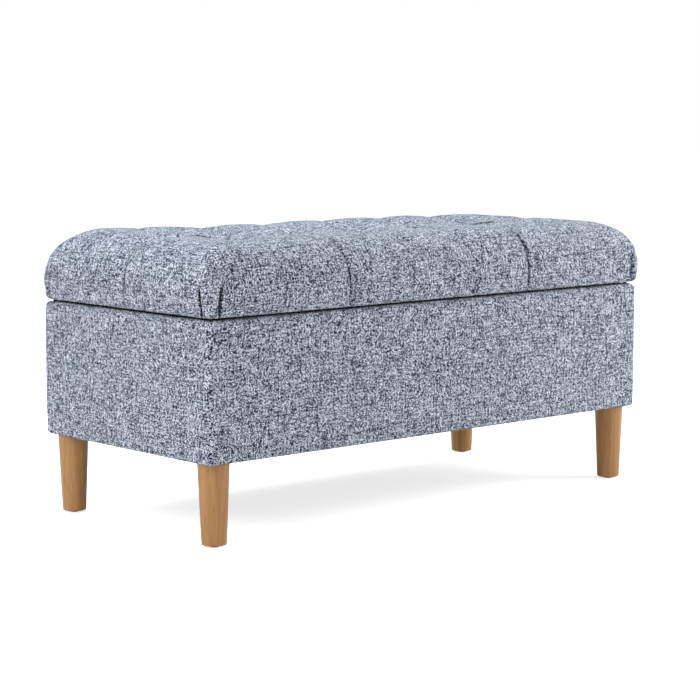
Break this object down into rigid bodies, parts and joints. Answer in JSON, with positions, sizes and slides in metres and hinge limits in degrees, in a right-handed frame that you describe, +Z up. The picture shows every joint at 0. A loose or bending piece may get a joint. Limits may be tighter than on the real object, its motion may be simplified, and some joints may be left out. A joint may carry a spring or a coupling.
{
  "type": "storage bench",
  "caption": "Upholstered storage bench: fabric-covered box on tapered wooden legs, with a diamond-tufted padded lid that opens on a rear hinge with soft-close stays.",
  "frame": {"origin": "on the floor, at the centre of the footprint", "axes": "+Z up, +X along the length to the bench's right as seen from the front, -Y towards the front; the lid hinges at +Y"},
  "size_m": [0.971, 0.451, 0.4672],
  "materials": {
    "upholstery_fabric": "coarse woven, heathered blue-grey",
    "oak": "natural, satin",
    "plywood": "unfinished",
    "pine": "unfinished",
    "wadding": "fibrous",
    "foam": "open cell",
    "lining_cloth": "non-woven",
    "twine": "twisted",
    "black_plastic": "moulded",
    "rubber": "matte",
    "plated_steel": "nickel plated, satin",
    "zinc_steel": "zinc plated"
  },
  "bodies": {
    "base": {"back_panel": "plywood", "base_cover": "upholstery_fabric", "base_padding": "wadding", "base_staples": "zinc_steel", "corner_block_back_left": "pine", "corner_block_back_right": "pine", "corner_block_front_left": "pine", "corner_block_front_right": "pine", "damper_left": "black_plastic", "damper_plate_left": "plated_steel", "damper_plate_right": "plated_steel", "damper_right": "black_plastic", "damper_screws": "zinc_steel", "dust_cover": "lining_cloth", "floor_panel": "plywood", "floor_rail_back": "pine", "floor_rail_front": "pine", "floor_rail_left": "pine", "floor_rail_right": "pine", "floor_screws": "zinc_steel", "front_panel": "plywood", "glide_nails": "zinc_steel", "glides": "black_plastic", "hanger_bolts": "zinc_steel", "hinge_base_leaf": "plated_steel", "hinge_base_screws": "zinc_steel", "hinge_pin": "plated_steel", "left_panel": "plywood", "leg_back_left": "oak", "leg_back_right": "oak", "leg_front_left": "oak", "leg_front_right": "oak", "lining_floor": "lining_cloth", "lining_walls": "lining_cloth", "panel_screws": "zinc_steel", "right_panel": "plywood", "tee_nuts": "zinc_steel"},
    "lid": {"hinge_lid_leaf": "plated_steel", "hinge_lid_screws": "zinc_steel", "lid_board": "plywood", "lid_bracket_left": "plated_steel", "lid_bracket_pins": "zinc_steel", "lid_bracket_right": "plated_steel", "lid_bracket_screws": "zinc_steel", "lid_bumpers": "rubber", "lid_cover": "upholstery_fabric", "lid_foam": "foam", "lid_lining": "lining_cloth", "lid_staples": "zinc_steel", "lid_wadding": "wadding", "tuft_discs": "black_plastic", "tuft_ties": "twine"},
    "arm_left": {"stay_arm_left": "plated_steel", "stay_rivet_left": "zinc_steel", "damper_shaft_left": "zinc_steel"},
    "link_left": {"stay_link_left": "plated_steel"},
    "arm_right": {"stay_arm_right": "plated_steel", "stay_rivet_right": "zinc_steel", "damper_shaft_right": "zinc_steel"},
    "link_right": {"stay_link_right": "plated_steel"}
  },
  "joints": [
    {"name": "lid_hinge", "type": "hinge", "parent": "base", "child": "lid", "pos_m": [0, 0.219, 0.353], "axis": [-1, 0, 0], "range_deg": [0, 95]},
    {"name": "stay_arm_pivot_left", "type": "hinge", "parent": "base", "child": "arm_left", "pos_m": [-0.44745, 0.144, 0.293], "axis": [-1, 0, 0], "range_deg": [0, 95]},
    {"name": "stay_link_pivot_left", "type": "hinge", "parent": "arm_left", "child": "link_left", "pos_m": [-0.44745, -0.026, 0.281], "axis": [-1, 0, 0], "range_deg": [-95, 0]},
    {"name": "stay_arm_pivot_right", "type": "hinge", "parent": "base", "child": "arm_right", "pos_m": [0.44745, 0.144, 0.293], "axis": [-1, 0, 0], "range_deg": [0, 95]},
    {"name": "stay_link_pivot_right", "type": "hinge", "parent": "arm_right", "child": "link_right", "pos_m": [0.44745, -0.026, 0.281], "axis": [-1, 0, 0], "range_deg": [-95, 0]}
  ],
  "couplings": [
    {"joint": "stay_arm_pivot_left", "follows": "lid_hinge", "ratio": 1},
    {"joint": "stay_link_pivot_left", "follows": "lid_hinge", "ratio": -1},
    {"joint": "stay_arm_pivot_right", "follows": "lid_hinge", "ratio": 1},
    {"joint": "stay_link_pivot_right", "follows": "lid_hinge", "ratio": -1}
  ]
}
